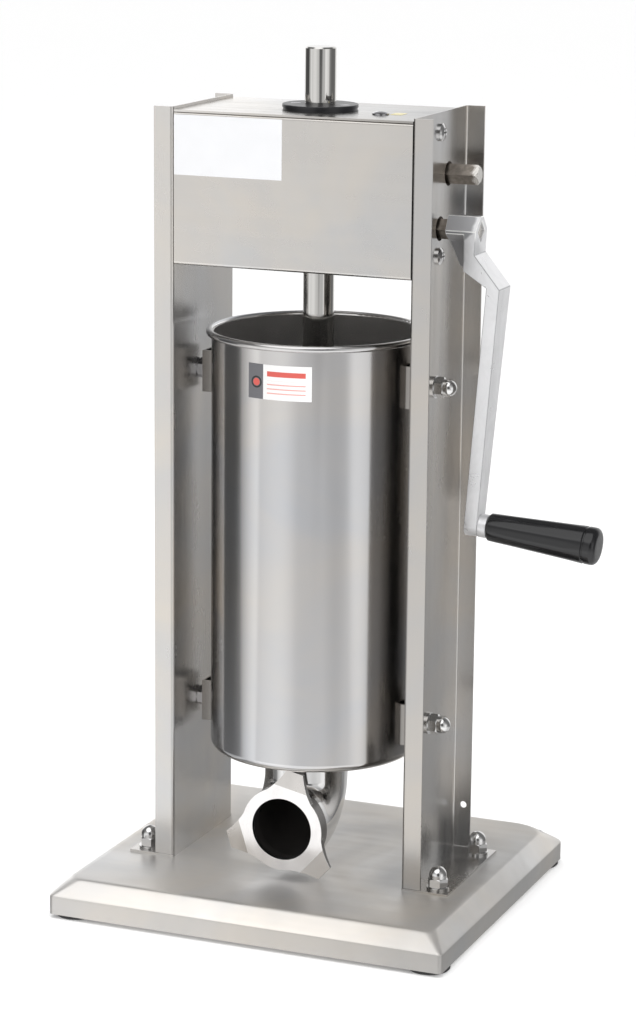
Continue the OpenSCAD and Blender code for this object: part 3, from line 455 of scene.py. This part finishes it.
def dress(obj, material):
    obj.data.materials.clear()
    obj.data.materials.append(material)


for name, obj in NODES.items():
    dress(obj, look_of(name))


# ---------- pieces with the rounded edges of the real ones, some with painted highlight and shade on those edges ---

SHARP = math.radians(32)        # edges that bend more than this are left sharp or rounded off
PAN_SHARP = math.radians(50)    # the pressed pan bends smoothly up to here


def add_piece(name, mesh, node):
    """Links a finished mesh as the piece that is shown for a CAD node, on that node's body."""
    piece = bpy.data.objects.new(name, mesh)
    bpy.context.scene.collection.objects.link(piece)
    dress(piece, look_of(node))
    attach(piece, NODES[node]["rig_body"])
    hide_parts(node)
    return piece


def softened(node, width, angle=SHARP, edge_material=None):
    """The CAD node again, welded, with the edges that are sharper than "angle" rounded off."""
    shape = bmesh.new()
    shape.from_mesh(NODES[node].data)
    bmesh.ops.remove_doubles(shape, verts=shape.verts, dist=0.01 * MM)
    bmesh.ops.dissolve_limit(shape, angle_limit=math.radians(0.6),
                             verts=shape.verts, edges=shape.edges)
    mesh = bpy.data.meshes.new(node + "_soft")
    shape.to_mesh(mesh)
    shape.free()
    piece = add_piece(node + "_soft", mesh, node)
    mesh.shade_smooth()
    mesh.set_sharp_from_angle(angle=angle)
    bevel = piece.modifiers.new("edges", "BEVEL")
    bevel.width = width
    bevel.segments = 3
    bevel.limit_method = "ANGLE"
    bevel.angle_limit = angle
    bevel.harden_normals = True
    if edge_material:
        mesh.materials.append(edge_material)
        bevel.material = 1
    return piece


def ring_nut_piece():
    """The ring nut, with painted shade on its sides and with wings a little rougher than its flat
    front and painted darker as shade.
    """
    nut = softened("ring_nut", 0.8 * MM, angle=math.radians(6), edge_material=BRIGHT_EDGE)
    nut.data.materials.append(NUT_SIDE)
    nut.data.materials.append(WING_METAL)
    side, wing = 2, 3                       # their places in the piece's material slots
    side_above, wing_above = -0.7, -0.998   # the Y of a face's normal, which is -1 on the front
    for face in nut.data.polygons:
        if face.normal.y > side_above:
            face.material_index = side
        elif face.normal.y > wing_above:
            face.material_index = wing


ring_nut_piece()
softened("crank_arm", 0.7 * MM, edge_material=CRANK_EDGE)
softened("bearing_block", 0.8 * MM)
softened("bearing_bracket", 0.8 * MM)
softened("grip_collar", 0.4 * MM)
softened("piston_plate", 0.6 * MM)


SPOUT_Z = JOINTS["ring_nut_turn"]["pos_m"][2]
PIPE_Y, BEND = -15 * MM, 30.6 * MM    # the elbow's upright part, and the radius of its bend


def from_pipe_axis(point):
    """Distance from the pipe's centre line, which runs down, round the bend and out in front."""
    across = Vector((point.y - PIPE_Y, point.z))
    corner = Vector((-BEND, SPOUT_Z + BEND))
    if across.y > corner.y:
        reach = across.x
    elif across.x < corner.x:
        reach = across.y - SPOUT_Z
    else:
        reach = (across - corner).length - BEND
    return math.hypot(reach, point.x)


def paint_inner_wall_shade(piece, inner_radius):
    """Darkens the faces on a pipe's inner wall: painted shade inside the bore."""
    allowance = 0.4 * MM
    piece.data.materials.append(DARK_INSIDE)
    for face in piece.data.polygons:
        if from_pipe_axis(face.center) < inner_radius + allowance:
            face.material_index = 1


paint_inner_wall_shade(softened("outlet_elbow", 0.3 * MM), 28 * MM)
paint_inner_wall_shade(softened("outlet_sleeve", 0.3 * MM), 24.5 * MM)


# Each corner of the pan: its side of X and of Y, and how much rounder it is than the tightest one.
CORNERS = ((1, 1, 2.7), (-1, 1, 1.8), (-1, -1, 1.3), (1, -1, 1.0))
CORNER_STEPS = 8


def ring_points(half_wide, half_deep, tightest, height):
    """One closed level ring of a rounded rectangle with the pan's four kinds of corner."""
    ring = []
    for quarter, (sign_x, sign_y, rounder) in enumerate(CORNERS):
        radius = tightest * rounder
        for step in range(CORNER_STEPS + 1):
            angle = math.pi / 2 * (quarter + step / CORNER_STEPS)
            ring.append(Vector((
                sign_x * (half_wide - radius) + radius * math.cos(angle),
                sign_y * (half_deep - radius) + radius * math.sin(angle),
                height,
            )))
    return ring


def loft(name, rings, close_first=True, close_last=True):
    """A skin over closed rings that all have the same number of points."""
    shape = bmesh.new()
    rows = [[shape.verts.new(point) for point in ring] for ring in rings]
    for lower, upper in zip(rows, rows[1:]):
        for i in range(len(lower)):
            j = (i + 1) % len(lower)
            shape.faces.new((lower[i], lower[j], upper[j], upper[i]))
    if close_first:
        shape.faces.new(list(reversed(rows[0])))
    if close_last:
        shape.faces.new(rows[-1])
    bmesh.ops.recalc_face_normals(shape, faces=shape.faces)
    mesh = bpy.data.meshes.new(name)
    shape.to_mesh(mesh)
    shape.free()
    mesh.shade_smooth()
    mesh.set_sharp_from_angle(angle=SHARP)
    return mesh


def pan_rings():
    """The pan from its lower inside edge, up the outside, over the top and back down the inside."""
    wide, deep = base_high.x, base_high.y
    bottom, top = base_low.z, base_high.z
    sheet, inset, skirt_top = 2 * MM, 10.6 * MM, 16.8 * MM
    slope_rise = top - skirt_top
    # each ring: how far it stands in from the skirt, its height and its tightest corner radius
    rings = [(0.0, bottom, 3 * MM), (0.0, bottom + 1 * MM, 3.2 * MM),
             (0.0, skirt_top - 1.2 * MM, 3.2 * MM), (0.05 * MM, skirt_top - 0.5 * MM, 3.4 * MM),
             (0.45 * MM, skirt_top + 0.25 * MM, 3.6 * MM)]
    for part in (0.12, 0.3, 0.5, 0.7, 0.86):
        rings.append((inset * part, skirt_top + slope_rise * part, (3.6 + 5.4 * part) * MM))
    rings += [(inset * 0.93, skirt_top + slope_rise * 0.925, 8.8 * MM),
              (inset * 1.02, skirt_top + slope_rise * 0.978, 9.2 * MM),
              (inset * 1.12, top, 9.6 * MM), (inset * 1.4, top, 10.5 * MM)]
    outside = [ring_points(wide - x, deep - x, radius, z) for x, z, radius in rings]
    lining = ((inset, top - sheet, 8 * MM), (0.6 * MM, skirt_top - 0.6 * MM, 3.4 * MM),
              (0.0, bottom, 3 * MM))
    wide, deep = wide - sheet, deep - sheet
    inside = [
        ring_points(wide - x, deep - x, max(1.2 * MM, radius - sheet), z)
        for x, z, radius in lining
    ]
    return outside, inside


def pan_piece():
    """The pressed pan: its outside and its lining, joined by a rim along the lower edge."""
    outside, inside = pan_rings()
    shell = loft("pan_outside", outside, close_first=False)
    inner = loft("pan_inside", inside, close_last=False)
    shape = bmesh.new()
    shape.from_mesh(shell)
    shape.from_mesh(inner)
    shape.verts.ensure_lookup_table()
    count = len(outside[0])
    last = len(shape.verts) - count
    for i in range(count):
        j = (i + 1) % count
        shape.faces.new([shape.verts[k] for k in (i, last + i, last + j, j)])
    bmesh.ops.recalc_face_normals(shape, faces=shape.faces)
    mesh = bpy.data.meshes.new("base_pan_pressed")
    shape.to_mesh(mesh)
    shape.free()
    mesh.shade_smooth()
    mesh.set_sharp_from_angle(angle=PAN_SHARP)
    add_piece("base_pan_pressed", mesh, "base_pan")


pan_piece()


GRIP_AXIS = Vector(JOINTS["grip_spin"]["axis"]).normalized()
GRIP_ORIGIN = Vector(JOINTS["grip_spin"]["pos_m"])


def turned(name, profile, place, ripple):
    """A turned body from (height, radius) pairs; ripple(height, angle) is added to the radius."""
    sides = 96
    rings = []
    for height, radius in profile:
        ring = []
        for side in range(sides):
            angle = 2 * math.pi * side / sides
            reach = radius + ripple(height, angle)
            ring.append(place @ Vector((reach * math.cos(angle), reach * math.sin(angle), height)))
        rings.append(ring)
    return loft(name, rings)


def grip_piece():
    """The black grip, with shallow flutes that fade at both ends, a groove and a rounded end."""
    turn = GRIP_AXIS.to_track_quat("Z", "Y").to_matrix().to_4x4()
    to_grip = Matrix.Translation(GRIP_ORIGIN) @ turn
    to_local = to_grip.inverted()
    along = [(to_local @ v.co).z for v in NODES["crank_grip"].data.vertices]
    start, end = min(along), max(along)
    small, big, corner = 9.9 * MM, 13.3 * MM, 4 * MM
    flutes, flute_depth, steps = 10, 0.22 * MM, 24
    groove = end - 9.6 * MM
    body = groove - start

    def ripple(height, angle):
        rise = (height - start - 6 * MM) / (12 * MM)
        fall = (groove - 3 * MM - height) / (8 * MM)
        fade = max(0.0, min(1.0, rise, fall))
        return -flute_depth * fade * (0.5 + 0.5 * math.cos(flutes * angle)) ** 2

    profile = [(start, small - 1.6 * MM), (start + 0.3 * MM, small - 0.8 * MM),
               (start + 1.1 * MM, small - 0.1 * MM)]
    for step in range(steps + 1):
        profile.append((start + 2 * MM + (body - 2.6 * MM) * step / steps,
                        small + (big - small) * step / steps))
    profile += [(groove + 0.1 * MM, big - 0.8 * MM), (groove + 0.9 * MM, big - 0.8 * MM),
                (groove + 1.3 * MM, big - 0.1 * MM)]
    rounding = [
        (end - corner + corner * math.sin(math.radians(degrees)),
         big - corner + corner * math.cos(math.radians(degrees)))
        for degrees in range(0, 91, 10)
    ]
    flat_end = 4 * MM
    profile += [(groove + 2 * MM, big)] + rounding + [(end, flat_end)]
    mesh = turned("crank_grip_moulded", profile, to_grip, ripple)
    piece = add_piece("crank_grip_moulded", mesh, "crank_grip")
    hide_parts("grip_cap")


grip_piece()


def spring_piece():
    """The air valve's spring as a copy of its own; the real spring shortens against the valve
    body's roof as the poppet lifts, but this copy keeps its shape.
    """
    coil = add_piece("valve_spring_coil", NODES["valve_spring"].data.copy(), "valve_spring")
    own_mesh(coil)


spring_piece()


# ---------- floor, lights and camera ----------

def white_floor():
    """A matt white floor that the camera sees as clean white, and that no reflection shows."""
    bpy.ops.mesh.primitive_plane_add(size=60.0)
    plane = bpy.context.object
    plane.name = "floor"
    made = Shader("floor", (0.88, 0.88, 0.88), roughness=0.9)
    made.surface.inputs["Emission Color"].default_value = (1, 1, 1, 1)
    made.surface.inputs["Emission Strength"].default_value = 0.14
    dress(plane, made.material)
    plane.visible_glossy = False


white_floor()


def area_light(name, place, target, size, power):
    data = bpy.data.lights.new(name, "AREA")
    data.shape = "RECTANGLE"
    data.size, data.size_y = size
    data.energy = power
    lamp = bpy.data.objects.new(name, data)
    lamp.location = place
    lamp.rotation_euler = (Vector(target) - Vector(place)).to_track_quat("-Z", "Y").to_euler()
    lamp.visible_glossy = False
    bpy.context.scene.collection.objects.link(lamp)


area_light("softbox_right", (2.3, -0.75, 1.1), (0, 0, 0.35), (1.3, 2.0), 30)
area_light("overhead", (-0.3, -0.5, 2.7), (0, 0, 0.2), (1.8, 1.3), 20)


def heading(azimuth, elevation):
    """The direction at an azimuth from +X towards +Y and an elevation, both in degrees."""
    turn, lift = math.radians(azimuth), math.radians(elevation)
    level = math.cos(lift)
    return Vector((level * math.cos(turn), level * math.sin(turn), math.sin(lift)))


# Each soft box: azimuth, elevation, half-width of its core and of its glow, all in degrees, and
# its brightness. One with a negative brightness is a dark card.
SOFT_BOXES = (
    (-100, 60, 25, 38, 1.35),
    (0, -90, 60, 77, 0.52),
    (-72, -22, 30, 95, 0.62),
    (-120, -14, 8, 34, 0.30),
    (-18, -2, 13, 20, 0.42),
    (-47, -8, 4, 15, -0.14),
    (-146, -9, 11, 14, 0.36),
    (85, 12, 10, 38, 0.90),
    (134, 12, 12, 28, 1.10),
    (-67, 10, 14, 22, -0.70),
    (180, -8, 14, 34, -0.10),
)
SURROUND = 0.20                      # what the metal mirrors between the soft boxes
SEEN_WHITE, AMBIENT = 1.0, 0.98      # what the camera sees, and what lights matt surfaces


def studio_world():
    """Clean white to the camera, even light on matt surfaces, and soft boxes in reflections."""
    world = bpy.data.worlds.new("studio")
    world.use_nodes = True
    nodes, links = world.node_tree.nodes, world.node_tree.links
    direction = nodes.new("ShaderNodeTexCoord").outputs["Generated"]

    def ramp(source, low, high, to_low, to_high):
        node = nodes.new("ShaderNodeMapRange")
        node.interpolation_type = "SMOOTHSTEP"
        values = (low, high, to_low, to_high)
        for socket, value in zip(("From Min", "From Max", "To Min", "To Max"), values):
            node.inputs[socket].default_value = value
        links.new(source, node.inputs["Value"])
        return node.outputs["Result"]

    def towards(vector):
        node = nodes.new("ShaderNodeVectorMath")
        node.operation = "DOT_PRODUCT"
        node.inputs[1].default_value = vector
        links.new(direction, node.inputs[0])
        return node.outputs["Value"]

    def choose(factor, first, second):
        node = nodes.new("ShaderNodeMix")
        links.new(factor, node.inputs["Factor"])
        for socket, value in (("A", first), ("B", second)):
            if isinstance(value, float):
                node.inputs[socket].default_value = value
            else:
                links.new(value, node.inputs[socket])
        return node.outputs["Result"]

    mirrored = SURROUND
    for azimuth, elevation, core, glow, brightness in SOFT_BOXES:
        facing = towards(heading(azimuth, elevation))
        edge, middle = math.cos(math.radians(glow)), math.cos(math.radians(core))
        box = ramp(facing, edge, middle, 0.0, brightness)
        total = nodes.new("ShaderNodeMath")
        if isinstance(mirrored, float):
            total.inputs[0].default_value = mirrored
        else:
            links.new(mirrored, total.inputs[0])
        links.new(box, total.inputs[1])
        mirrored = total.outputs["Value"]
    path = nodes.new("ShaderNodeLightPath")
    strength = choose(path.outputs["Is Glossy Ray"], AMBIENT, mirrored)
    strength = choose(path.outputs["Is Camera Ray"], strength, SEEN_WHITE)
    links.new(strength, nodes["Background"].inputs["Strength"])
    nodes["Background"].inputs["Color"].default_value = (1.0, 1.0, 1.0, 1)
    bpy.context.scene.world = world


studio_world()
bpy.context.scene.view_settings.view_transform = "Standard"

# The photograph's viewpoint. The camera stands at CAMERA_PLACE, swung by AZIMUTH from straight in
# front and looking down by ELEVATION.
CAMERA_PLACE = (0.8413, -2.0617, 0.7946)
AZIMUTH, ELEVATION, ROLL = math.radians(22.172), math.radians(12.896), math.radians(0.544)
SENSOR_MM, LENS_MM = 36.0, 111.73


def add_camera():
    data = bpy.data.cameras.new("camera")
    data.sensor_width = SENSOR_MM
    data.lens = LENS_MM
    data.clip_end = 100.0
    camera = bpy.data.objects.new("camera", data)
    bpy.context.scene.collection.objects.link(camera)
    camera.matrix_world = (
        Matrix.Translation(CAMERA_PLACE)
        @ Matrix.Rotation(AZIMUTH, 4, "Z")
        @ Matrix.Rotation(math.pi / 2 - ELEVATION, 4, "X")
        @ Matrix.Rotation(ROLL, 4, "Z")
    )
    bpy.context.scene.camera = camera


add_camera()
